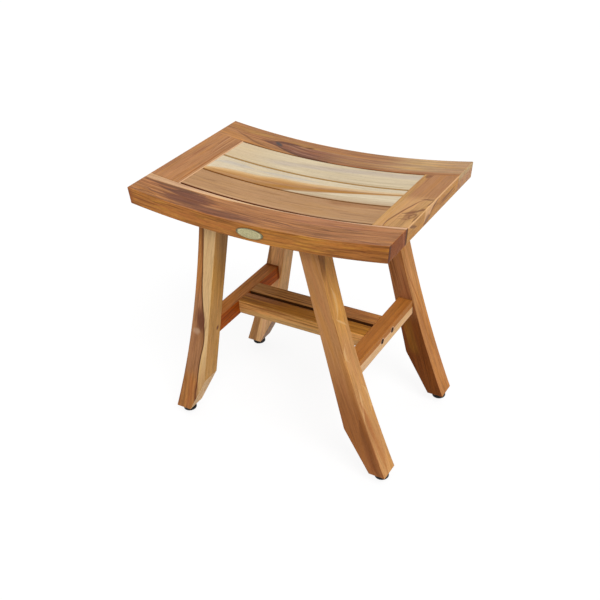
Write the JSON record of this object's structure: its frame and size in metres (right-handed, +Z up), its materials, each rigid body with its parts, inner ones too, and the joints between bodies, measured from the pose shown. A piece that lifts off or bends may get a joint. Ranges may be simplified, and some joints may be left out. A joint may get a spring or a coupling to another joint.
{
  "type": "shower bench",
  "caption": "Slatted teak shower bench: dished seat on splayed legs with levelling feet, and a small slatted shelf between the side stretchers.",
  "frame": {"origin": "on the floor, under the middle of the seat", "axes": "+X along the seat to the right, +Y from front to back, +Z up"},
  "size_m": [0.457, 0.3064, 0.458],
  "materials": {
    "teak_red": "oiled teak heartwood, reddish brown with purple-brown streaks",
    "teak_brown": "oiled teak heartwood, tan brown",
    "teak_gold": "oiled teak, golden brown with pale sapwood bands",
    "teak_pale": "oiled teak sapwood, cream with a brown heartwood band",
    "dowel_beech": "plain turned dowel",
    "screw_steel": "stainless steel, dull in its hole",
    "insert_brass": "turned brass",
    "pad_nylon": "moulded black nylon",
    "stud_zinc": "zinc-plated steel",
    "badge_metal": "brushed pale metal with a darker raised rim"
  },
  "bodies": {
    "bench": {"seat_front_rail": "teak_red", "seat_back_rail": "teak_brown", "seat_left_rail": "teak_red", "seat_right_rail": "teak_gold", "seat_slat_front": "teak_brown", "seat_slat_middle": "teak_pale", "seat_slat_back": "teak_pale", "bearer_left": "teak_brown", "bearer_right": "teak_brown", "leg_front_left": "teak_gold", "leg_front_right": "teak_gold", "leg_back_left": "teak_gold", "leg_back_right": "teak_gold", "stretcher_left": "teak_red", "stretcher_right": "teak_gold", "shelf_slat_front": "teak_brown", "shelf_slat_back": "teak_brown", "rail_dowels": "dowel_beech", "slat_dowels": "dowel_beech", "leg_dowels": "dowel_beech", "bearer_dowels": "dowel_beech", "stretcher_dowels": "dowel_beech", "bearer_screws": "screw_steel", "shelf_screws": "screw_steel", "foot_inserts": "insert_brass", "badge_plate": "badge_metal"},
    "pad_front_left": {"foot_pad_front_left": "pad_nylon"},
    "stud_front_left": {"foot_stud_front_left": "stud_zinc"},
    "pad_front_right": {"foot_pad_front_right": "pad_nylon"},
    "stud_front_right": {"foot_stud_front_right": "stud_zinc"},
    "pad_back_left": {"foot_pad_back_left": "pad_nylon"},
    "stud_back_left": {"foot_stud_back_left": "stud_zinc"},
    "pad_back_right": {"foot_pad_back_right": "pad_nylon"},
    "stud_back_right": {"foot_stud_back_right": "stud_zinc"}
  },
  "joints": [
    {"name": "foot_front_left_travel", "type": "slide", "parent": "bench", "child": "pad_front_left", "axis": [0, 0, -1], "range_m": [0, 0.008]},
    {"name": "foot_front_left_turn", "type": "hinge", "parent": "pad_front_left", "child": "stud_front_left", "pos_m": [-0.1975, -0.119, 0.01], "axis": [0, 0, -1], "range_deg": [0, 2881]},
    {"name": "foot_front_right_travel", "type": "slide", "parent": "bench", "child": "pad_front_right", "axis": [0, 0, -1], "range_m": [0, 0.008]},
    {"name": "foot_front_right_turn", "type": "hinge", "parent": "pad_front_right", "child": "stud_front_right", "pos_m": [0.1975, -0.119, 0.01], "axis": [0, 0, -1], "range_deg": [0, 2881]},
    {"name": "foot_back_left_travel", "type": "slide", "parent": "bench", "child": "pad_back_left", "axis": [0, 0, -1], "range_m": [0, 0.008]},
    {"name": "foot_back_left_turn", "type": "hinge", "parent": "pad_back_left", "child": "stud_back_left", "pos_m": [-0.1975, 0.119, 0.01], "axis": [0, 0, -1], "range_deg": [0, 2881]},
    {"name": "foot_back_right_travel", "type": "slide", "parent": "bench", "child": "pad_back_right", "axis": [0, 0, -1], "range_m": [0, 0.008]},
    {"name": "foot_back_right_turn", "type": "hinge", "parent": "pad_back_right", "child": "stud_back_right", "pos_m": [0.1975, 0.119, 0.01], "axis": [0, 0, -1], "range_deg": [0, 2881]}
  ],
  "couplings": [
    {"joint": "foot_front_left_turn", "follows": "foot_front_left_travel", "rad_per_m": 6283.2},
    {"joint": "foot_front_right_turn", "follows": "foot_front_right_travel", "rad_per_m": 6283.2},
    {"joint": "foot_back_left_turn", "follows": "foot_back_left_travel", "rad_per_m": 6283.2},
    {"joint": "foot_back_right_turn", "follows": "foot_back_right_travel", "rad_per_m": 6283.2}
  ]
}
